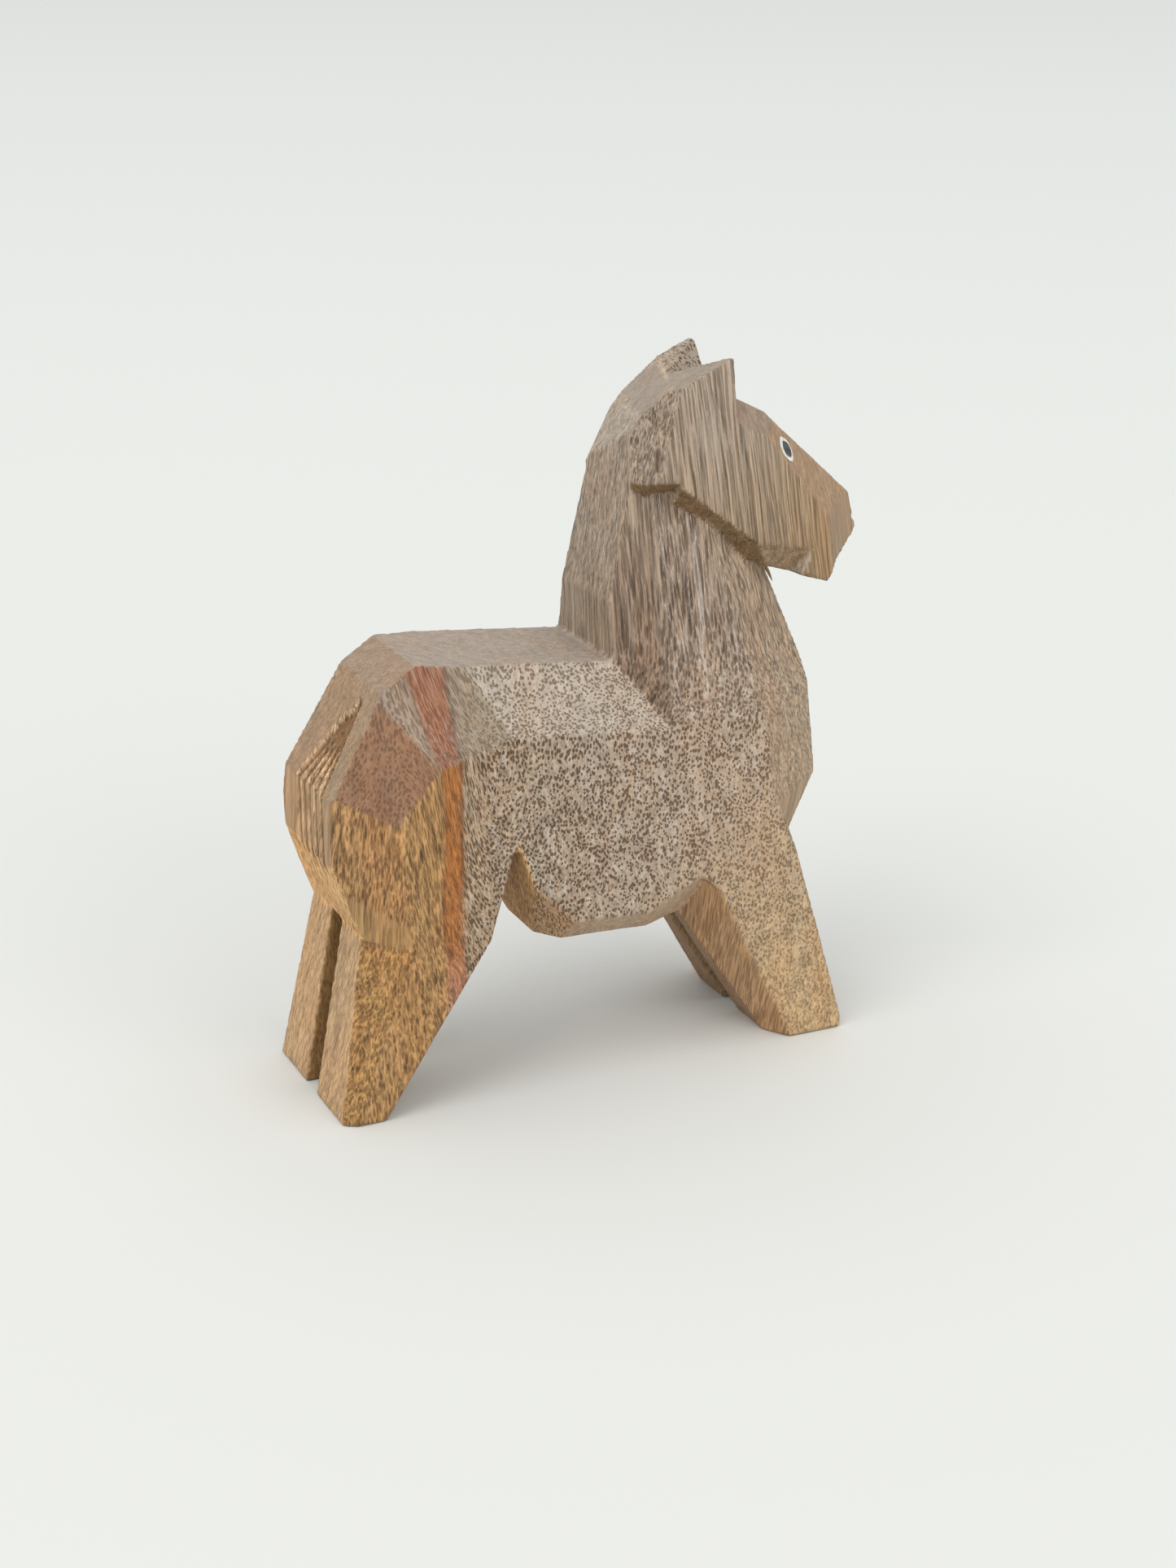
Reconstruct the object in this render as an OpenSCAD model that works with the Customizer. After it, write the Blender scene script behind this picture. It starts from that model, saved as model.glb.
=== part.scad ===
// Whittled wooden horse, cut from one block of board.
// X runs from tail to nose, Y from the horse's right to its left, Z up from the hooves.
// The side view is sawn first. Every flat after that is one straight knife cut, given by
// three points on the finished flat. Lengths along the board are measured from mid_x.

/* [Block] */
// Thickness of the board, which is the width of the horse across its flanks
board = 25; // [24:0.5:27]

/* [Legs] */
// Width of the saw slots between the left and right legs
slot = 3.6; // [2:0.2:3.8]

/* [Tail] */
// Number of V-grooves that draw the tail
tail_grooves = 5; // [3:1:7]
// Width of the grooved band, from the first groove to the last
tail_width = 8; // [6:0.5:9]
// Depth of each groove
groove_depth = 0.7; // [0.3:0.1:1]
// Width of each groove at the surface
groove_width = 1.4; // [0.6:0.1:1.5]

/* [Eyes] */
// Long axis of the white of the eye
eye_length = 3.5; // [3:0.25:4.5]
// Widest part of the white of the eye
eye_width = 1.9; // [1.2:0.1:2.4]
// Width of the white line around the pupil
eye_rim = 0.35; // [0.3:0.05:0.55]
// Thickness of one coat of paint
paint = 0.12; // [0.08:0.02:0.2]

/* [Hidden] */

half = board / 2;
mid_x = 2.6;
reach = 200;

// Heights and points that several cuts share
belly_z = 17.5;
crotch_z = 23;
knee_z = 40.5;
poll_z = 73.85;
tail_x = -33.8;
tail_right = -5.2;
brow = [27, 79.2];
nose_tip = [38.7, 69.1];
brow_side = [24.5, -6.2, 78.6];
muzzle_side = [33.9, -6.4, 67.2];
nose_side = [38.7, -2.8, 69.1];
eye_centre = [27.75, -5.5, 76.25];
eye_top = [27.05, -5.15, 77.9];

// Far side of the plane through a, b and c, which run anticlockwise seen from outside.
module beyond(a, b, c) {
    n = cross(b - a, c - a);
    translate(a)
        rotate([0, acos(n[2] / norm(n)), atan2(n[1], n[0])])
            translate([-reach / 2, -reach / 2, 0])
                cube(reach);
}

// The same cut on the right side and, mirrored, on the left side.
module both() {
    children();
    mirror([0, 1, 0]) children();
}

// Side view sawn through the whole board.
module sawn(outline) {
    rotate([90, 0, 0])
        linear_extrude(board, center = true)
            polygon(outline);
}

// V-groove whose bottom runs from p to q, in a flat that faces along up.
module groove(p, q, up) {
    along = (q - p) / norm(q - p);
    side = cross(along, up);
    over = 0.3;
    spread = (groove_width / 2) * (1 + over / groove_depth);
    multmatrix([
        [side[0], up[0], along[0], p[0]],
        [side[1], up[1], along[1], p[1]],
        [side[2], up[2], along[2], p[2]],
        [0, 0, 0, 1]
    ])
        linear_extrude(norm(q - p))
            polygon([[0, -groove_depth], [spread, over], [-spread, over]]);
}

// Rounds the haunch from the croup down to its lowest tip.
module rump_corner() {
    beyond([-27.2, -8, 52], [-26.7, -half, 37.8], [-21.2, -half, 44.1]);
}

module rump() {
    difference() {
        sawn([
            [-30.4, crotch_z - 0.2], [-25.4, 21.8], [-15, 21.3], [-11.5, 33.3], [20, 33.3],
            [20, 51.6], [-22, 55.6], [-26.6, 53], [tail_x, knee_z], [tail_x, 32.5]
        ]);
        rump_corner();
        // the left one is cut deeper
        translate([0, -1.6, 0]) mirror([0, 1, 0]) rump_corner();
        both() {
            // saddle
            beyond([-16.4, -8, 55.1], [-12.4, -half, 46.8], [3, -8, 53.2]);
            // hip
            beyond([-27.2, -8, 52], [-21.2, -half, 44.1], [-16.4, -8, 55.1]);
            // haunch
            beyond([tail_x, -8.5, 32], [-25.4, -half, 22], [-26.7, -half, 37.8]);
            // foot of the haunch
            beyond([-31.1, -9.8, 28.4], [-30.2, -9.3, 22.5], [-27.1, -11.7, 25.3]);
        }
    }
}

module belly() {
    difference() {
        sawn([
            [-11.5, 33.3], [-6, belly_z], [13.8, belly_z], [20, 22], [20, 36], [-11.5, 36]
        ]);
        both() {
            // lower edge, from back to front
            beyond([-8.2, -half, 26], [-3.6, -7.2, belly_z], [-4, -half, 21.8]);
            beyond([-4, -half, 21.8], [-3.6, -7.2, belly_z], [5, -half, 21.2]);
            beyond([7.6, -half, 22], [10.4, -7, belly_z], [14.7, -half, 25.4]);
        }
    }
}

module hind_legs() {
    difference() {
        sawn([
            [-34.6, 0], [-29.1, 0], [-15, 21.3], [-11.5, 33.3], [-11.5, 40], [-27, 40],
            [-30.4, crotch_z]
        ]);
        both()
            // outside of the leg, set back below the haunch
            beyond([-33, -half, 0], [-25, -half, 21.8], [-30, -8.9, 22.3]);
    }
}

module front_legs() {
    difference() {
        sawn([
            [24.6, 0], [34.3, 0], [34.3, 1.7], [26.9, 26.7], [24.1, 33.5], [20, 36], [8, 36],
            [8, 26.8]
        ]);
        both()
            // back corner of the leg
            beyond([26.8, -half, 0], [14.7, -half, 25.4], [24.7, -9.2, 0]);
    }
}

module neck() {
    difference() {
        sawn([
            [2.9, 40], [3, 53.2], [3.15, 59.85], [6.05, poll_z], [14, poll_z], [25.5, 61.8],
            [31.1, 49.2], [32.2, 45.6], [33.5, 33.5], [28.2, 22.3], [16, 22.3], [8, 30]
        ]);
        both() {
            // back corner of the neck
            beyond([3, -8, 53.2], [9.5, -half, 45.1], [4.2, -6.7, 64.6]);
            // side of the neck
            beyond([9.5, -half, 45.2], [30, -half, 45.2], [8.3, -7.5, 71.8]);
            // chest, from the throat down
            beyond([15.8, -8.2, 68.2], [19.3, -10.3, 56.9], [25.7, -5, 61.3]);
            beyond([19.3, -10.3, 56.9], [22.8, -12.2, 43], [32.1, -5, 46]);
            beyond([22.8, -12.2, 43], [33.5, -5, 33.5], [32.1, -5, 46]);
            beyond([24.1, -half, 33.5], [28.2, -5, 22.3], [33.5, -5, 33.5]);
        }
    }
}

// Side of the head, from the ear to the chin.
module head_side() {
    both() beyond([9.7, -9.7, 74.9], [33.9, -7.9, 58.9], [20.5, -5.3, 88.2]);
}

// Back of the head with both ears.
module crown() {
    cheek = [10.6, -9.6, 74.5];
    notch = [13.8, 0, 85.8];
    root = [20.4, 0, 82];
    difference() {
        sawn([
            [6.05, 71], [6.05, poll_z], [7.4, 80.3], [11.5, 86], [19.8, 89], [20.5, 88.4],
            [20.4, 72]
        ]);
        head_side();
        both() {
            // back corner of the head
            beyond([6.15, -6.5, 74.3], [8.4, -9.9, 74.7], [10.2, -5, 84]);
            // end of the ledge under the cheek
            beyond(cheek, [8.4, -9.9, 74.7], [9.2, -7.3, 73]);
            beyond([6.15, -6.5, 74.3], [8.3, -7.5, 71.8], [8.4, -9.9, 74.7]);
        }
        // crest of the mane, lower on the left
        beyond([6.6, 5.5, 75.8], [7.2, -2.7, 79.4], [11.3, 6.3, 82.4]);
        beyond([11.3, 6.3, 82.4], [12.3, -5, 85.6], [15.3, 6.3, 86.2]);
        // back of the right ear, then of the left one, which is taller
        intersection() {
            translate([0, -half, 80]) cube([30, half, 12]);
            beyond([12.1, -7.3, 85.3], [20.5, -5.3, 88.2], notch);
        }
        intersection() {
            translate([0, 0, 80]) cube([30, half, 12]);
            beyond(notch, [19.8, 5, 89], [15.3, 6.3, 86.4]);
        }
        // V-notch between the ears
        intersection() {
            beyond(notch, [20.5, -5, 88.2], root);
            beyond(notch, root, [20.2, 5, 88.8]);
        }
    }
}

module face() {
    cheek = [10.6, -9.6, 74.5];
    jaw = [22.4, -8.9, 65.7];
    throat = [24.4, -7.2, 62.2];
    stop = [30.9, -7.6, 63.9];
    difference() {
        sawn([
            [13, 82], [20.4, 83.4], [25.5, 80.8], brow, nose_tip, [39.3, 66.4], [39, 65.9],
            [39.7, 65.3], [39.8, 64.4], [34.6, 61.6], [33, 59.4], [24.4, 62.2], [10.6, 68]
        ]);
        head_side();
        both() {
            // side of the forehead
            beyond([20.3, -6.7, 80.3], brow_side, [25.8, -4, 80.7]);
            // side of the nose
            beyond(brow_side, muzzle_side, nose_side);
            // corner of the muzzle
            beyond(muzzle_side, [33.9, -7.5, 61.2], [39.9, -2.3, 65]);
            // ledge under the cheek
            beyond(cheek, throat, jaw);
            // relief under the jaw, stopped short of the chin
            intersection() {
                beyond(jaw, throat, stop);
                beyond(stop, [28, -5.8, 60.6], [29.3, -8.3, 61.4]);
            }
        }
    }
}

// Outline of an eye, pointed at both ends, along Y.
module almond(length, width) {
    radius = (pow(length, 2) + pow(width, 2)) / (4 * width);
    shift = radius - width / 2;
    intersection() {
        translate([shift, 0]) circle(radius, $fn = 96);
        translate([-shift, 0]) circle(radius, $fn = 96);
    }
}

// Stands a flat shape on the right side of the nose, with Y up along the eye.
module on_nose() {
    n = cross(muzzle_side - brow_side, nose_side - brow_side);
    up = n / norm(n);
    slope = eye_top - eye_centre;
    flat = slope - up * (slope * up);
    along = flat / norm(flat);
    across = cross(along, up);
    place = eye_centre + up * ((brow_side - eye_centre) * up) - [mid_x, 0, 0];
    multmatrix([
        [across[0], along[0], up[0], place[0]],
        [across[1], along[1], up[1], place[1]],
        [across[2], along[2], up[2], place[2]],
        [0, 0, 0, 1]
    ])
        children();
}

module eye_white() {
    color("whitesmoke")
        on_nose()
            linear_extrude(paint)
                almond(eye_length, eye_width);
}

// The second coat lies on the first.
module pupil() {
    color("darkslategray")
        on_nose()
            translate([0, 0, paint])
                linear_extrude(paint)
                    almond(eye_length - 3.6 * eye_rim, eye_width - 2 * eye_rim);
}

module tail() {
    pitch = tail_width / (tail_grooves - 1);
    back = [-1, 0, 0];
    slope = [-12.5, 0, 7.2] / norm([12.5, 7.2]);
    tip = [-27.7, -3.5, 51.1];
    for (i = [0:tail_grooves - 1]) {
        knee = [tail_x, tail_right + i * pitch, knee_z];
        upper = (tip - knee) * (1 - 0.25 * i / tail_grooves);
        groove(knee - [0, 0, 12.5], knee, back);
        groove(knee, knee + upper, slope);
    }
}

module carved_horse() {
    color("burlywood")
        translate([-mid_x, 0, 0])
            difference() {
                union() {
                    rump();
                    belly();
                    hind_legs();
                    front_legs();
                    neck();
                    crown();
                    face();
                }
                // saw slots between the legs
                translate([-40, -slot / 2, -1]) cube([32, slot, crotch_z + 1]);
                translate([0, -slot / 2, -1]) cube([40, slot, belly_z + 1]);
                tail();
            }
}

carved_horse();
mirror([0, 1, 0]) eye_white();  // eye_white_left
eye_white();  // eye_white_right
mirror([0, 1, 0]) pupil();  // pupil_left
pupil();  // pupil_right
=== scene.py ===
import math

import bpy
import numpy as np
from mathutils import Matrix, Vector, kdtree, noise
from mathutils.bvhtree import BVHTree


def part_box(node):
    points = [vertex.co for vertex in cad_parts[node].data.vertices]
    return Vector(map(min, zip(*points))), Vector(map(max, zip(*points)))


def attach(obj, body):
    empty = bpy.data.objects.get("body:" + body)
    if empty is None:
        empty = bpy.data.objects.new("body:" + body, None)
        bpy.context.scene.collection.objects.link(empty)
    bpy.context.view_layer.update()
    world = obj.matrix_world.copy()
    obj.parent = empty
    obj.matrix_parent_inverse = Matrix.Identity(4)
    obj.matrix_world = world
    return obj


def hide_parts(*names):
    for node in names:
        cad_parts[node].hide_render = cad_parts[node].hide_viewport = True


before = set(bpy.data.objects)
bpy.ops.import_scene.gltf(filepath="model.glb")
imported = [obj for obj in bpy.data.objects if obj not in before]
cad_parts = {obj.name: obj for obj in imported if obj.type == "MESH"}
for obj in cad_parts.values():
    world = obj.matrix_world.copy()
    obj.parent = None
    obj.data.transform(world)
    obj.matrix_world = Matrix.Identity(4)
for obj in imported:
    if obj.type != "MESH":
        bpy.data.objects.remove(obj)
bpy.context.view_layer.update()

MM = 0.001
# Places on the horse are in millimetres, with part.scad's own lengths along the board. This is
# the horse's middle in those lengths.
MID = Vector((2.6, 0, 0))


# ---------------------------------------------------------------- camera, floor and light

def make_camera():
    """A long lens from the horse's right and behind, a little above it."""
    azimuth = math.radians(25)
    elevation = math.radians(20.13)
    data = bpy.data.cameras.new("camera")
    data.sensor_width = 36
    data.lens = 59.8
    data.clip_start = 0.01
    data.clip_end = 40
    camera = bpy.data.objects.new("camera", data)
    bpy.context.scene.collection.objects.link(camera)
    camera.location = Vector((-129.28, -279.35, 147.5)) * MM
    forward = Vector((
        math.sin(azimuth) * math.cos(elevation),
        math.cos(azimuth) * math.cos(elevation),
        -math.sin(elevation),
    ))
    camera.rotation_mode = "QUATERNION"
    camera.rotation_quaternion = forward.to_track_quat("-Z", "Y")
    bpy.context.scene.camera = camera


def make_floor():
    """A pale floor that runs far past the edges of the view."""
    reach = 8.0
    mesh = bpy.data.meshes.new("floor")
    corners = [(-reach, -reach, 0), (reach, -reach, 0), (reach, reach, 0), (-reach, reach, 0)]
    mesh.from_pydata(corners, [], [(0, 1, 2, 3)])
    floor = bpy.data.objects.new("floor", mesh)
    bpy.context.scene.collection.objects.link(floor)
    material = bpy.data.materials.new("paper")
    material.use_nodes = True
    shader = material.node_tree.nodes["Principled BSDF"]
    shader.inputs["Base Color"].default_value = (0.70, 0.70, 0.66, 1)
    shader.inputs["Roughness"].default_value = 0.9
    shader.inputs["Specular IOR Level"].default_value = 0.1
    mesh.materials.append(material)


def make_light(name, place, size, watts, colour):
    """A round soft light that faces the horse."""
    data = bpy.data.lights.new(name, "AREA")
    data.energy = watts
    data.shape = "DISK"
    data.size = size
    data.color = colour
    light = bpy.data.objects.new(name, data)
    bpy.context.scene.collection.objects.link(light)
    light.location = place
    light.rotation_mode = "QUATERNION"
    aim = Vector((0, 0, 0.04))
    light.rotation_quaternion = (aim - Vector(place)).to_track_quat("-Z", "Y")


def make_light_tent():
    """Even light from all round, a key from the view's left and a fill from its near right."""
    world = bpy.data.worlds.new("tent")
    bpy.context.scene.world = world
    world.use_nodes = True
    sky = world.node_tree.nodes["Background"]
    sky.inputs["Color"].default_value = (0.93, 0.96, 1.0, 1)
    sky.inputs["Strength"].default_value = 1.0
    make_light("key", (-2.2, -1.0, 3.0), 2.4, 44, (1.0, 0.97, 0.93))
    make_light("fill", (1.0, -3.2, 1.4), 2.8, 30, (1.0, 0.96, 0.9))


# ---------------------------------------------------------------- the carved block

# Size of the visual mesh's faces
VOXEL = 0.42 * MM
# Creases of the CAD block sharper than this are knife edges
EDGE_ANGLE = math.radians(14)
# Spacing of the points that stand for a knife edge
EDGE_STEP = 0.15 * MM
# Points nearer than this to a knife edge are drawn onto it
EDGE_PULL = 0.24 * MM
# Share of the way that each point moves to the mean of its neighbours
SMOOTHING = 0.22

# Knife marks, in millimetres: a shallow cut everywhere, waved, and deeper at nicks in the ridges
CUT_DEPTH = 0.05
LONG_WAVE = 5.0
LONG_WAVE_DEPTH = 0.06
SHORT_WAVE = 1.8
SHORT_WAVE_DEPTH = 0.02
NICK_SPACING = 1.1
NICK_DEPTH = 0.16
NICK_REACH = 0.35
NICK_SHIFT = Vector((7, 3, 5))


def vertex_places(mesh):
    """The mesh's points as rows of an array."""
    places = np.empty(len(mesh.vertices) * 3)
    mesh.vertices.foreach_get("co", places)
    return places.reshape(-1, 3)


def refine(node):
    """A fine even mesh of the CAD block, as a new object."""
    mesh = node.data.copy()
    mesh.materials.clear()
    horse = bpy.data.objects.new("whittled_horse", mesh)
    bpy.context.scene.collection.objects.link(horse)
    remesh = horse.modifiers.new("remesh", "REMESH")
    remesh.mode = "VOXEL"
    remesh.voxel_size = VOXEL
    graph = bpy.context.evaluated_depsgraph_get()
    fine = bpy.data.meshes.new_from_object(horse.evaluated_get(graph))
    horse.modifiers.clear()
    horse.data = fine
    fine.name = "whittled_horse"
    return horse


def cad_surface(mesh):
    """A tree that finds the nearest place and flat on the CAD block."""
    points = [v.co.copy() for v in mesh.vertices]
    return BVHTree.FromPolygons(points, [tuple(p.vertices) for p in mesh.polygons])


def knife_edges(mesh):
    """Points along the sharp edges: one tree of ridges and one of inside corners."""
    sides = {}
    for polygon in mesh.polygons:
        for key in polygon.edge_keys:
            sides.setdefault(key, []).append(polygon)
    found = {"ridge": [], "corner": []}
    for (a, b), pair in sides.items():
        if len(pair) != 2 or pair[0].normal.angle(pair[1].normal, 0) < EDGE_ANGLE:
            continue
        start = mesh.vertices[a].co
        end = mesh.vertices[b].co
        turned = (pair[1].center - pair[0].center).dot(pair[0].normal)
        kind = "ridge" if turned < 0 else "corner"
        steps = max(1, int((end - start).length / EDGE_STEP))
        for i in range(steps + 1):
            found[kind].append(start.lerp(end, i / steps))
    trees = {}
    for kind, points in found.items():
        tree = kdtree.KDTree(len(points))
        for i, point in enumerate(points):
            tree.insert(point, i)
        tree.balance()
        trees[kind] = tree
    return trees


def smooth(points, links, amount):
    """Moves each point some of the way to the mean of its neighbours."""
    total = np.zeros_like(points)
    count = np.zeros(len(points))
    for a, b in ((0, 1), (1, 0)):
        np.add.at(total, links[:, a], points[links[:, b]])
        np.add.at(count, links[:, a], 1)
    mean = total / count[:, None]
    return points + (mean - points) * amount


def knife_depth(place, ridge_gap):
    """How deep the knife cut at a place, which lies ridge_gap from the nearest ridge."""
    wave = noise.noise(place / LONG_WAVE) * LONG_WAVE_DEPTH
    wave += noise.noise(place / SHORT_WAVE) * SHORT_WAVE_DEPTH
    nick = max(0.0, noise.noise(place / NICK_SPACING + NICK_SHIFT)) * NICK_DEPTH
    return CUT_DEPTH - wave + nick * math.exp(-(ridge_gap / NICK_REACH) ** 2)


def carve(block, surface):
    """Shapes the fine mesh. Returns it with each point's place, the direction of the flat that
    it is on, and its distances in millimetres to the nearest ridge and inside corner."""
    trees = knife_edges(block.data)
    horse = refine(block)
    mesh = horse.data
    points = vertex_places(mesh)
    normals = np.empty_like(points)
    gaps = {"ridge": np.empty(len(points)), "corner": np.empty(len(points))}
    for i, point in enumerate(points):
        place, normal = surface.find_nearest(Vector(point))[:2]
        points[i] = place
        normals[i] = normal
        for kind in gaps:
            edge, _, gap = trees[kind].find(place)
            gaps[kind][i] = gap / MM
            if gap < EDGE_PULL:
                points[i] = edge
    links = np.array([tuple(e.vertices) for e in mesh.edges])
    points = smooth(points, links, SMOOTHING)
    for i, point in enumerate(points):
        points[i] -= normals[i] * knife_depth(Vector(point) / MM, gaps["ridge"][i]) * MM
    lo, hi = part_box("carved_horse")
    points = np.clip(points, np.array(lo), np.array(hi))
    mesh.vertices.foreach_set("co", points.ravel())
    mesh.shade_smooth()
    mesh.update()
    return horse, points, normals, gaps


# ---------------------------------------------------------------- the wood's colour and marks, with painted light and shade

SLOT_COLOUR = (0.25, 0.14, 0.05)
FRONT_SLOT_COLOUR = (0.30, 0.20, 0.11)

# A place near the middle of each flat, its colour, and how much it shows of pores, dark fibre
# streaks and pale torn fibres. Each colour is the wood's own colour with painted light and shade
# in it, so each flat is lighter or darker for the light that falls on it. The left side takes the
# same looks mirrored.
LOOKS = [
    # flank, from the shoulder back to the haunch
    ((12, -12.5, 36), (0.285, 0.215, 0.155), (0.95, 0.4, 0.8)),
    ((-3, -12.5, 32), (0.265, 0.20, 0.145), (1.0, 0.4, 1.0)),
    ((-13, -12.5, 30), (0.205, 0.165, 0.118), (1.0, 1.0, 1.0)),
    ((-23, -12.5, 30), (0.29, 0.165, 0.075), (0.9, 0.9, 0.0)),
    # haunch, hip and rump corner
    ((-29, -10.5, 32), (0.30, 0.165, 0.068), (0.6, 1.0, 0.0)),
    ((-29, -10.5, 25), (0.33, 0.20, 0.085), (0.4, 0.6, 0.0)),
    ((-26, -8, 52), (0.26, 0.195, 0.145), (0.6, 0.3, 0.4)),
    ((-15, -9, 52), (0.24, 0.185, 0.125), (0.6, 0.3, 0.4)),
    ((-26, -10, 45), (0.225, 0.12, 0.066), (0.5, 0.3, 0.1)),
    # saddle, back and croup
    ((-6, -9.5, 51), (0.33, 0.27, 0.21), (0.8, 0.3, 0.7)),
    ((-8, 0, 54), (0.335, 0.27, 0.21), (0.1, 0.4, 0.2)),
    ((-24, 0, 54), (0.30, 0.21, 0.14), (0.1, 0.4, 0.2)),
    ((-30, 0, 47), (0.31, 0.205, 0.12), (0.1, 0.5, 0.1)),
    # rump's end face and the hind legs
    ((-33.8, 0, 35), (0.37, 0.235, 0.125), (0.2, 0.6, 0.0)),
    ((-30, -10.5, 10), (0.30, 0.165, 0.06), (0.5, 1.0, 0.0)),
    ((-33, 0, 10), (0.44, 0.28, 0.145), (0.3, 0.7, 0.0)),
    ((-22, -6, 11), (0.26, 0.16, 0.09), (0.3, 0.5, 0.1)),
    # belly; the first row is brighter than the wood, painted light for the light thrown up from the
    # floor
    ((-9, 0, 25), (0.55, 0.32, 0.13), (0.8, 0.4, 0.1)),
    ((4, 0, 17.5), (0.27, 0.18, 0.10), (0.3, 0.5, 0.1)),
    ((-5, -11, 22), (0.36, 0.235, 0.13), (0.9, 0.4, 0.2)),
    ((3, -10, 19), (0.38, 0.27, 0.18), (0.3, 0.4, 0.2)),
    # front legs
    ((24, -12.5, 22), (0.345, 0.25, 0.155), (0.7, 0.5, 0.3)),
    ((29, -12.5, 6), (0.42, 0.285, 0.15), (0.45, 0.6, 0.1)),
    ((20, -11, 12), (0.37, 0.225, 0.115), (0.5, 0.5, 0.1)),
    ((17, -6, 13), (0.29, 0.18, 0.10), (0.3, 0.5, 0.1)),
    ((30, -6, 15), (0.36, 0.24, 0.13), (0.3, 0.6, 0.1)),
    # neck and chest
    ((3, 0, 58), (0.25, 0.185, 0.125), (0.2, 1.0, 0.4)),
    ((5, -8, 60), (0.175, 0.12, 0.08), (0.7, 1.0, 0.2)),
    ((4, 0, 62), (0.25, 0.185, 0.125), (0.2, 1.0, 0.4)),
    ((5, 0, 71), (0.28, 0.21, 0.15), (0.2, 1.0, 0.4)),
    ((5, -8, 71), (0.24, 0.18, 0.13), (0.5, 1.0, 0.4)),
    ((13, -10, 59), (0.19, 0.14, 0.10), (0.7, 1.0, 0.9)),
    ((16, -12, 48), (0.27, 0.20, 0.145), (0.8, 0.8, 0.9)),
    ((21, -8, 61), (0.27, 0.195, 0.13), (0.5, 1.0, 0.5)),
    ((25, -9.5, 51), (0.30, 0.21, 0.135), (0.5, 1.0, 0.5)),
    ((29, -9, 42), (0.32, 0.23, 0.15), (0.4, 0.9, 0.3)),
    ((29, -9, 28), (0.34, 0.24, 0.15), (0.2, 0.6, 0.1)),
    ((30, 0, 52), (0.33, 0.23, 0.15), (0.2, 0.6, 0.1)),
    # head
    ((16, -7, 79), (0.25, 0.20, 0.15), (0.6, 0.9, 0.5)),
    ((20, -8.5, 69), (0.28, 0.195, 0.125), (0.6, 0.8, 0.2)),
    ((31, -8, 64), (0.245, 0.16, 0.08), (0.3, 0.9, 0.1)),
    ((8, -8, 78), (0.23, 0.175, 0.125), (0.6, 0.9, 0.5)),
    ((16, -8.5, 70), (0.155, 0.095, 0.045), (0.1, 0.8, 0.0)),
    ((7, -8, 73.5), (0.155, 0.095, 0.045), (0.1, 0.6, 0.0)),
    ((9.5, -8.5, 74), (0.155, 0.095, 0.045), (0.1, 0.6, 0.0)),
    ((26, -7.5, 63), (0.24, 0.155, 0.09), (0.1, 0.7, 0.1)),
    ((26, 0, 62), (0.21, 0.135, 0.075), (0.2, 0.6, 0.1)),
    ((22.5, -5.5, 80), (0.27, 0.19, 0.135), (0.1, 0.3, 0.2)),
    ((23, 0, 82), (0.30, 0.22, 0.16), (0.1, 0.3, 0.2)),
    ((31, -6, 73), (0.315, 0.21, 0.125), (0.1, 0.4, 0.1)),
    ((33, 0, 74), (0.32, 0.215, 0.13), (0.1, 0.4, 0.1)),
    ((37, -5, 65), (0.30, 0.21, 0.135), (0.2, 0.5, 0.1)),
    ((39.5, 0, 68), (0.31, 0.21, 0.13), (0.2, 0.5, 0.1)),
    # mane and ears
    ((9, 0, 79), (0.35, 0.28, 0.21), (0.2, 0.7, 0.4)),
    ((13, 0, 84), (0.31, 0.25, 0.195), (0.0, 0.3, 0.2)),
    ((15.5, -4, 86.5), (0.30, 0.245, 0.185), (0.0, 0.3, 0.2)),
    ((17.5, -2.5, 86), (0.25, 0.20, 0.15), (1.0, 0.3, 0.2)),
    # saw slots between the legs
    ((-22, -1.8, 12), SLOT_COLOUR, (0.3, 0.6, 0.0)),
    ((20, -1.8, 12), FRONT_SLOT_COLOUR, (0.3, 0.6, 0.0)),
]
# How sharply a flat's direction and its place pick its look
TURN_WEIGHT = 400
PLACE_SPREAD = 9.0

TAIL_COLOUR = np.array((0.60, 0.42, 0.25))
# painted shade for the depths of the tail's grooves
GROOVE_SHADE_COLOUR = np.array((0.19, 0.10, 0.04))
GOLD_COLOUR = np.array((0.31, 0.175, 0.07))
# painted shade for the inside corners and the crack, and the colour of the resin lines
SHADE_AND_RESIN_COLOUR = np.array((0.07, 0.04, 0.02))
STRIPE_COLOUR = np.array((0.31, 0.12, 0.03))
SALMON_COLOUR = np.array((0.33, 0.15, 0.085))
BROWN_COLOUR = np.array((0.25, 0.18, 0.11))
PINK_COLOUR = np.array((0.25, 0.11, 0.06))
# painted highlight along the ridges, also standing for their worn wood
EDGE_HIGHLIGHT_AND_WEAR = np.array((0.56, 0.44, 0.32))

STRIPE_MARKS = np.array((0.3, 0.8, 0.0))
GOLD_MARKS = np.array((0.55, 1.0, 0.0))
EAR_MARKS = np.array((1.0, 0.2, 0.2))
NO_MARKS = np.zeros(3)
# Mean share of a fully pored flat that its pores darken
PORE_LOSS = 0.27

# Where the flank's bands of wood begin and end along the board
STRIPE_BACK = -21.2
STRIPE_FRONT = -18.6
BROWN_FRONT = -16.4
# The resin lines before and behind the stripe, and their width
FRONT_RESIN = -18.7
BACK_RESIN = -20.9
RESIN_WIDTH = 0.2

# Where the rump's end face is, how far the croup above it leans, and the height where they meet
RUMP_END = -33.8
CROUP_ANGLE = math.radians(30)
CROUP_FOOT = 40.5

# How far the fibres lean to the right for each millimetre that they rise, in the body and in
# the neck, where they lean the other way
BODY_LEAN = 0.466
NECK_LEAN = -0.15
NECK_FOOT = 50
# Height over which the lean turns from one to the other
LEAN_TURN = 3
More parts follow.
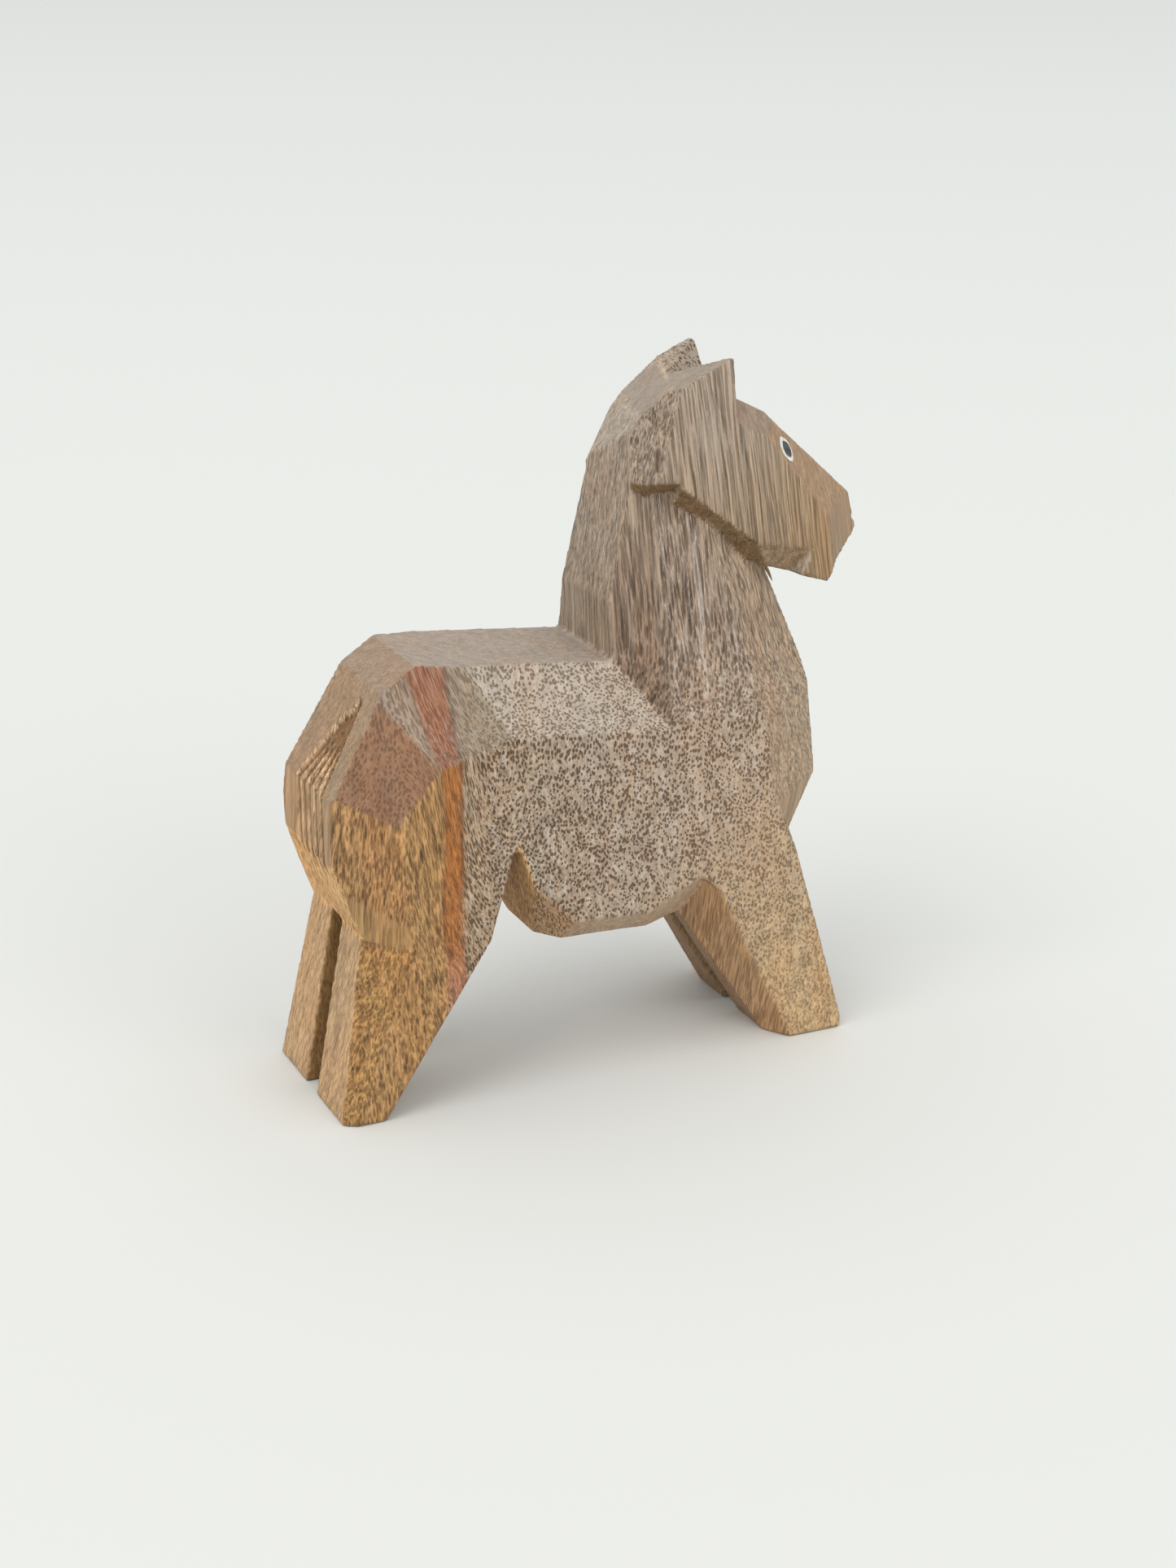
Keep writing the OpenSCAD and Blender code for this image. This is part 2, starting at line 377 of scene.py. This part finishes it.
# How far they lean back, and the share of the sideways lean that the haunch is without
BACKWARD_LEAN = 0.05
HAUNCH_STRAIGHTENING = 0.55


def fade(value, start, end):
    """0 before start, 1 after end, and smooth between them."""
    t = np.clip((value - start) / (end - start), 0, 1)
    return t * t * (3 - 2 * t)


def band(value, low, high, soft):
    """1 between low and high, fading over soft on both sides of each."""
    return fade(value, low - soft, low + soft) * (1 - fade(value, high - soft, high + soft))


def near(gap, reach):
    """1 where the gap is nothing, fading as it passes reach."""
    return np.exp(-(gap / reach) ** 2)


def blend(values, mask, value):
    """The values with the mask's share of another value."""
    return values * (1 - mask[:, None]) + value * mask[:, None]


def rough_noise(places, stretch):
    """Noise at each place, whose features are stretched along the three axes."""
    return np.array([noise.noise(Vector(place)) for place in places / np.array(stretch)])


def segment_gap(p, a, b):
    """Distance from each point to the straight line from a to b."""
    a = np.array(a, dtype=float)
    b = np.array(b, dtype=float)
    t = np.clip(((p - a) @ (b - a)) / ((b - a) @ (b - a)), 0, 1)
    return np.linalg.norm(p - (a + t[:, None] * (b - a)), axis=1)


def look_facings(surface):
    """The direction of the CAD flat nearest to each look's middle."""
    facings = []
    for middle, _, _ in LOOKS:
        facing = surface.find_nearest((Vector(middle) - MID) * MM)[1]
        if middle[1] == 0:
            # a look on the middle line serves both sides, so it leans to neither
            facing = Vector((facing.x, 0, facing.z)).normalized()
        facings.append(facing)
    return facings


class Coat:
    """The colour and marks of the wood at each point, painted light and shade included, while they
    are laid on.

    place is where the point is. p and n are its place and its flat's direction, mirrored onto
    the right side where the point is on the left, and x, y and z are p's columns."""

    def __init__(self, place, normal, facings):
        side = np.where(place[:, 1] > 0, -1.0, 1.0)
        flip = np.stack([np.ones_like(side), side, np.ones_like(side)], axis=1)
        self.place = place
        self.p = place * flip
        self.n = normal * flip
        self.x, self.y, self.z = self.p.T
        self.flank = fade(-self.n[:, 1], 0.985, 0.998)
        cost = []
        for facing, (middle, _, _) in zip(facings, LOOKS):
            turn = (1 - self.n @ np.array(facing)) * TURN_WEIGHT
            away = np.linalg.norm(self.p - np.array(middle), axis=1) / PLACE_SPREAD
            cost.append(turn + away ** 1.5)
        cost = np.array(cost).T
        weight = np.exp(cost.min(axis=1, keepdims=True) - cost)
        weight /= weight.sum(axis=1, keepdims=True)
        self.colours = weight @ np.array([look[1] for look in LOOKS])
        self.marks = weight @ np.array([look[2] for look in LOOKS])

    def colour(self, mask, colour):
        """Lays a colour on as far as the mask says."""
        self.colours = blend(self.colours, mask, colour)

    def mark(self, mask, marks):
        """Turns the marks into others as far as the mask says."""
        self.marks = blend(self.marks, mask, marks)


def paint_heartwood(coat):
    """The bands of colour down the back of the flank and over the hip."""
    ragged = rough_noise(coat.p, (1, 1, 9)) * 0.5
    x = coat.x + ragged
    z = coat.z
    # the stripe turns pinker towards the belly
    stripe = band(x, STRIPE_BACK, STRIPE_FRONT, 0.3) * coat.flank * fade(z, 12, 16)
    pinker = fade(-z, -24, -15)[:, None]
    coat.colour(stripe, STRIPE_COLOUR + pinker * (SALMON_COLOUR - STRIPE_COLOUR))
    coat.mark(stripe * 0.8, STRIPE_MARKS)
    gold = (1 - fade(x, STRIPE_BACK - 0.2, STRIPE_BACK + 0.4)) * coat.flank
    coat.colour(gold, GOLD_COLOUR)
    coat.mark(gold, GOLD_MARKS)
    brown = band(x, STRIPE_FRONT, BROWN_FRONT, 0.4) * coat.flank
    coat.colour(brown * 0.7, BROWN_COLOUR)
    # on the hip the stripe goes on as a pink band, wider towards the back
    hip = fade(coat.n[:, 2], 0.35, 0.38) * fade(-coat.n[:, 1], 0.84, 0.86) * (coat.x < -13)
    widening = np.clip(z - 44, 0, 12) * 0.2
    pink = fade(x + widening, STRIPE_BACK - 0.4, STRIPE_BACK + 0.2)
    pink *= (1 - fade(coat.x, STRIPE_FRONT - 0.5, STRIPE_FRONT - 0.1)) * hip
    coat.colour(pink, PINK_COLOUR)
    # broken resin lines on both sides of it
    line = near(coat.x - FRONT_RESIN, RESIN_WIDTH) * band(z, 30, 56, 1.5)
    line += near(x - BACK_RESIN, RESIN_WIDTH) * coat.flank * band(z, 22, 40, 1.5)
    noise_slice = np.stack([coat.x * 0.3, np.full_like(z, 4.0), z / 4], axis=1)
    unbroken = fade(rough_noise(noise_slice, (1, 1, 1)), -0.25, 0.05)
    line *= np.maximum(coat.flank, hip) * unbroken
    coat.colour(np.clip(line, 0, 1) * 0.6, SHADE_AND_RESIN_COLOUR)


def paint_tail(coat):
    """Pale wood on the tail, and painted shade down in its grooves. Returns where the tail is."""
    tail = (coat.x < -26.3) & (np.abs(coat.y) < 6.5) & (coat.z > 27.5) & (np.abs(coat.n[:, 1]) > 0.3)
    below_end = coat.x - RUMP_END
    below_croup = math.cos(CROUP_ANGLE) * below_end - math.sin(CROUP_ANGLE) * (coat.z - CROUP_FOOT)
    depth = np.minimum(below_end, below_croup)
    coat.colour(tail, TAIL_COLOUR)
    # painted shade: the deeper below the tail's face, the darker the groove
    coat.colour(tail * fade(depth, 0.1, 0.45), GROOVE_SHADE_COLOUR)
    return tail


def paint_slots(coat):
    """Fresh sawn wood between the left and right legs."""
    slots = (np.abs(coat.y) < 1.9) & (coat.z < 23.2) & (np.abs(coat.n[:, 0]) < 0.5)
    coat.colour(slots, np.array(SLOT_COLOUR))
    coat.colour(slots & (coat.x > 0), np.array(FRONT_SLOT_COLOUR))


def paint_edges(coat, gaps, tail):
    """Painted shade: dark lines where a cut stops and in the crack behind the cheek. Painted
    highlight, standing also for worn wood: pale lines on the ridges.
    """
    # painted shade: a dark line down the crack behind the cheek, without pores
    crack = near(segment_gap(coat.p, (9.0, -7.8, 78.2), (8.5, -8.8, 76.2)), 0.36)
    crack *= coat.place[:, 1] < 0
    coat.mark(crack, NO_MARKS)
    # painted shade in the inside corners, strongest at the haunch's foot where a cut stops
    inside = near(gaps["corner"], 0.25) * (coat.z < 76) * (1 - tail)
    haunch_foot = (coat.z > 19) & (coat.z < 26) & (coat.x < -23) & (np.abs(coat.y) > 8)
    inside *= 0.6 + 0.4 * haunch_foot
    # painted highlight along the ridges, broken up by noise, which also stands for their worn wood
    ridge = near(gaps["ridge"], 0.3)
    ridge *= np.clip(0.55 + rough_noise(coat.p, (2.2, 2.2, 2.2)), 0.15, 0.9)
    # the ground between the pores is lighter, so that each flat keeps its mean colour
    coat.colours /= 1 - PORE_LOSS * coat.marks[:, :1]
    # lays the painted highlight, with the wear, on the ridges outside the tail
    coat.colour(ridge * (1 - tail), EDGE_HIGHLIGHT_AND_WEAR)
    # lays the painted shade on the inside corners and the crack
    coat.colour(np.maximum(inside, crack), SHADE_AND_RESIN_COLOUR)
    # under the painted highlight the ridges lose most of their marks
    coat.marks *= 1 - 0.7 * ridge[:, None]


def fibre_places(coat):
    """Each point's place measured across and along the leaning fibres."""
    x, y, z = coat.place.T
    haunch = fade(-x, 14, 26)
    in_neck = np.log1p(np.exp(np.clip((z - NECK_FOOT) / LEAN_TURN, -30, 30))) * LEAN_TURN
    drift = BODY_LEAN * (1 - HAUNCH_STRAIGHTENING * haunch) * z - (BODY_LEAN - NECK_LEAN) * in_neck
    return np.stack([x + BACKWARD_LEAN * z, y + drift, z], axis=1)


def paint_wood(horse, surface, points, normals, gaps):
    """Stores the wood's colour with its painted light and shade, its marks and its fibre places on
    the mesh.
    """
    coat = Coat(points / MM + np.array(MID), normals, look_facings(surface))
    paint_heartwood(coat)
    tail = paint_tail(coat)
    paint_slots(coat)
    ear = (coat.place[:, 1] > 1.5) & (coat.z > 85.3) & (coat.x > 14.5)
    coat.mark(ear * 0.9, EAR_MARKS)
    paint_edges(coat, gaps, tail)
    store(horse.data, "tint", "FLOAT_COLOR", with_alpha(coat.colours))
    store(horse.data, "marks", "FLOAT_COLOR", with_alpha(coat.marks))
    store(horse.data, "fibre", "FLOAT_VECTOR", fibre_places(coat))


def with_alpha(colours):
    """The colours with a fourth column of ones."""
    return np.hstack([colours, np.ones((len(colours), 1))])


def store(mesh, name, kind, values):
    """Keeps one value per point of the mesh, for the material to read."""
    layer = mesh.attributes.new(name, kind, "POINT")
    layer.data.foreach_set("vector" if kind == "FLOAT_VECTOR" else "color", values.ravel())


def make_splinter():
    """A sliver still hanging where the throat was undercut, three-sided and closed at both ends."""
    rings = [
        ((24.3, -6.9, 62.4), 0.34),
        ((24.7, -7.1, 61.7), 0.30),
        ((25.0, -7.2, 61.0), 0.20),
        ((25.3, -7.3, 60.3), 0.05),
    ]
    flatness = 0.6
    corners = []
    for (x, y, z), width in rings:
        for turn in (20, 140, 260):
            angle = math.radians(turn)
            across = math.cos(angle) * width
            through = math.sin(angle) * width * flatness
            corners.append((Vector((x + across, y + through, z)) - MID) * MM)
    faces = [(0, 1, 2), (11, 10, 9)]
    for ring in range(0, 9, 3):
        for i in range(3):
            j = (i + 1) % 3
            faces.append((ring + j, ring + i, ring + i + 3, ring + j + 3))
    mesh = bpy.data.meshes.new("throat_splinter")
    mesh.from_pydata(corners, [], faces)
    splinter = bpy.data.objects.new("throat_splinter", mesh)
    bpy.context.scene.collection.objects.link(splinter)
    places = vertex_places(mesh) / MM
    brown = np.tile((0.24, 0.15, 0.08), (len(places), 1))
    streaked = np.tile((0.2, 0.9, 0.1), (len(places), 1))
    store(mesh, "tint", "FLOAT_COLOR", with_alpha(brown))
    store(mesh, "marks", "FLOAT_COLOR", with_alpha(streaked))
    store(mesh, "fibre", "FLOAT_VECTOR", places)
    return splinter


# ---------------------------------------------------------------- materials

class Nodes:
    """Short names for the shader nodes that these materials use."""

    def __init__(self, name):
        self.material = bpy.data.materials.new(name)
        self.material.use_nodes = True
        self.tree = self.material.node_tree
        self.shader = self.tree.nodes["Principled BSDF"]

    def new(self, kind):
        return self.tree.nodes.new(kind)

    def link(self, value, socket):
        """Joins a socket to another, or gives it a plain value."""
        if isinstance(value, bpy.types.NodeSocket):
            self.tree.links.new(value, socket)
        else:
            socket.default_value = value

    def attribute(self, name, output):
        found = self.new("ShaderNodeAttribute")
        found.attribute_name = name
        return found.outputs[output]

    def math(self, operation, a, b):
        made = self.new("ShaderNodeMath")
        made.operation = operation
        self.link(a, made.inputs[0])
        self.link(b, made.inputs[1])
        return made.outputs[0]

    def plus(self, first, *others):
        for other in others:
            first = self.math("ADD", first, other)
        return first

    def times(self, first, *others):
        for other in others:
            first = self.math("MULTIPLY", first, other)
        return first

    def vector(self, operation, a, b):
        made = self.new("ShaderNodeVectorMath")
        made.operation = operation
        self.link(a, made.inputs[0])
        self.link(b, made.inputs["Scale"] if operation == "SCALE" else made.inputs[1])
        return made.outputs[0]

    def ramp(self, value, low, high, to_low=0.0, to_high=1.0):
        """Goes smoothly from to_low to to_high as the value goes from low to high."""
        made = self.new("ShaderNodeMapRange")
        made.interpolation_type = "SMOOTHSTEP"
        self.link(value, made.inputs[0])
        for i, limit in enumerate((low, high, to_low, to_high)):
            self.link(limit, made.inputs[i + 1])
        return made.outputs[0]

    def noise(self, place, detail=2.0, roughness=0.5):
        made = self.new("ShaderNodeTexNoise")
        self.link(place, made.inputs["Vector"])
        self.link(1.0, made.inputs["Scale"])
        self.link(detail, made.inputs["Detail"])
        self.link(roughness, made.inputs["Roughness"])
        return made.outputs[0]

    def grain(self, place, scale, detail=2.0, roughness=0.5):
        """Noise with its own scale along each axis."""
        return self.noise(self.vector("MULTIPLY", place, scale), detail, roughness)

    def cells(self, place, scale):
        """Distance from the middle of the nearest of many scattered cells."""
        made = self.new("ShaderNodeTexVoronoi")
        self.link(self.vector("MULTIPLY", place, scale), made.inputs["Vector"])
        self.link(1.0, made.inputs["Scale"])
        return made.outputs["Distance"]

    def mix(self, share, a, b):
        made = self.new("ShaderNodeMix")
        made.data_type = "RGBA"
        self.link(share, made.inputs["Factor"])
        self.link(a, made.inputs[6])
        self.link(b, made.inputs[7])
        return made.outputs[2]

    def bump(self, height, strength, distance):
        made = self.new("ShaderNodeBump")
        self.link(height, made.inputs["Height"])
        self.link(strength, made.inputs["Strength"])
        self.link(distance, made.inputs["Distance"])
        self.tree.links.new(made.outputs[0], self.shader.inputs["Normal"])


# Scales of the wood's patterns per millimetre: twice across the fibres, then along them
SWAY_SCALE = (0.3, 0.3, 0.06)
PORE_SCALE = (2.7, 4.2, 0.075)
PORE_PATCH_SCALE = (0.5, 0.5, 0.12)
FINE_STREAK_SCALE = (4.2, 4.2, 0.07)
BROAD_STREAK_SCALE = (1.5, 1.5, 0.04)
WIDE_STREAK_SCALE = (0.7, 0.7, 0.03)
HUE_SCALE = (0.3, 0.12, 0.012)
FLECK_SCALE = (6.0, 6.0, 1.1)
RIBBON_SCALE = (1.3, 1.3, 0.04)
GRIT_SCALE = (9.0, 9.0, 2.5)

FLECK_TILT = math.radians(40)
FLECK_COLOUR = (0.60, 0.54, 0.47, 1)
# What the ground's colour is multiplied by inside a pore, and in warmer and greyer patches
PORE_TINT = (0.28, 0.20, 0.14)
WARM_TINT = (1.03, 0.975, 0.93)
COOL_TINT = (0.98, 1.0, 1.01)
# Depth of the wood's relief and of the brush marks in the paint
WOOD_RELIEF = 0.09 * MM
BRUSH_RELIEF = 0.04 * MM


def swaying(m, fibre):
    """Fibre places that wander a little to the side along each fibre."""
    sway = m.times(m.math("SUBTRACT", m.grain(fibre, SWAY_SCALE, 1.0), 0.5), 0.9)
    shift = m.new("ShaderNodeCombineXYZ")
    m.link(sway, shift.inputs[0])
    m.link(sway, shift.inputs[1])
    return m.vector("ADD", fibre, shift.outputs[0])


def open_pores(m, fibre):
    """1 in the open vessels, which are long along the fibres and wider in some patches."""
    reach = m.ramp(m.grain(fibre, PORE_PATCH_SCALE), 0.3, 0.7, 0.4, 0.54)
    return m.ramp(m.math("DIVIDE", m.cells(fibre, PORE_SCALE), reach), 0.72, 1.08, 1.0, 0.0)


def torn_fibres(m, fibre):
    """Pale flecks that lie aslant, and pale ribbons along the fibres."""
    aslant = m.new("ShaderNodeMapping")
    m.link(fibre, aslant.inputs["Vector"])
    m.link((0.0, FLECK_TILT, 0.0), aslant.inputs["Rotation"])
    m.link(FLECK_SCALE, aslant.inputs["Scale"])
    fleck = m.ramp(m.noise(aslant.outputs[0], 2.0, 0.6), 0.5, 0.7)
    ribbon = m.ramp(m.grain(fibre, RIBBON_SCALE), 0.5, 0.68)
    return m.plus(m.times(fleck, 0.5), m.times(ribbon, 0.4))


def wood_material():
    """Pored wood. Its colour, marks and fibre places come from the mesh."""
    m = Nodes("wood")
    marks = m.new("ShaderNodeSeparateColor")
    m.link(m.attribute("marks", "Color"), marks.inputs[0])
    pored, streaked, torn = marks.outputs
    fibre = swaying(m, m.attribute("fibre", "Vector"))
    pore = m.times(open_pores(m, fibre), pored)
    fleck = m.times(torn_fibres(m, fibre), torn)
    # dark and pale streaks, in three widths
    fine = m.ramp(m.grain(fibre, FINE_STREAK_SCALE, 3.0, 0.6), 0.33, 0.67, -1.0, 1.0)
    broad = m.ramp(m.grain(fibre, BROAD_STREAK_SCALE, 1.0), 0.3, 0.7, -1.0, 1.0)
    wide = m.ramp(m.grain(fibre, WIDE_STREAK_SCALE), 0.25, 0.75, -1.0, 1.0)
    shade = m.plus(1.0, m.times(fine, streaked, 0.42), m.times(broad, streaked, 0.22))
    shade = m.plus(shade, m.times(wide, 0.10))
    ground = m.vector("SCALE", m.attribute("tint", "Color"), shade)
    # warmer and greyer patches
    warm = m.vector("MULTIPLY", ground, WARM_TINT)
    cool = m.vector("MULTIPLY", ground, COOL_TINT)
    ground = m.mix(m.ramp(m.grain(fibre, HUE_SCALE), 0.3, 0.7), warm, cool)
    ground = m.mix(fleck, ground, FLECK_COLOUR)
    dark = m.vector("MULTIPLY", ground, PORE_TINT)
    m.link(m.mix(m.times(pore, 0.95), ground, dark), m.shader.inputs["Base Color"])
    # relief: pores sink in, torn fibres and grit stand up
    grit = m.grain(fibre, GRIT_SCALE, 2.0, 0.6)
    height = m.math("SUBTRACT", m.times(fine, 0.12), pore)
    height = m.plus(height, m.times(grit, 0.5), m.times(fleck, 0.5))
    m.bump(height, 0.7, WOOD_RELIEF)
    m.link(m.ramp(grit, 0.3, 0.7, 0.62, 0.86), m.shader.inputs["Roughness"])
    m.shader.inputs["Specular IOR Level"].default_value = 0.32
    return m.material


def paint_material(name, thin, thick, rough):
    """Brushed paint: the colour thins out along the brush strokes."""
    m = Nodes(name)
    place = m.new("ShaderNodeTexCoord").outputs["Object"]
    place = m.vector("SCALE", place, 1 / MM)
    stroke = m.grain(place, (5.0, 5.0, 1.2), 3.0, 0.6)
    blot = m.grain(place, (1.6, 1.6, 1.6))
    cover = m.plus(m.times(stroke, 0.6), m.times(blot, 0.4))
    m.link(m.mix(m.ramp(cover, 0.35, 0.6), thin, thick), m.shader.inputs["Base Color"])
    m.bump(stroke, 0.5, BRUSH_RELIEF)
    m.link(m.ramp(stroke, 0.3, 0.7, rough - 0.1, rough + 0.1), m.shader.inputs["Roughness"])
    m.shader.inputs["Specular IOR Level"].default_value = 0.4
    return m.material


def dress(node_name, material):
    """Gives a CAD node its material."""
    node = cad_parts[node_name]
    for slot in node.material_slots:
        slot.material = material


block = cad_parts["carved_horse"]
surface = cad_surface(block.data)
horse, points, normals, gaps = carve(block, surface)
paint_wood(horse, surface, points, normals, gaps)
splinter = make_splinter()
wood = wood_material()
for piece in (horse, splinter):
    piece.data.materials.append(wood)
    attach(piece, "root")
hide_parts("carved_horse")

white = paint_material("white_paint", (0.50, 0.46, 0.38, 1), (0.74, 0.73, 0.68, 1), 0.6)
dark = paint_material("dark_paint", (0.075, 0.085, 0.075, 1), (0.03, 0.034, 0.03, 1), 0.5)
for side in ("left", "right"):
    dress("eye_white_" + side, white)
    dress("pupil_" + side, dark)

make_camera()
make_floor()
make_light_tent()
bpy.context.scene.view_settings.view_transform = "Standard"
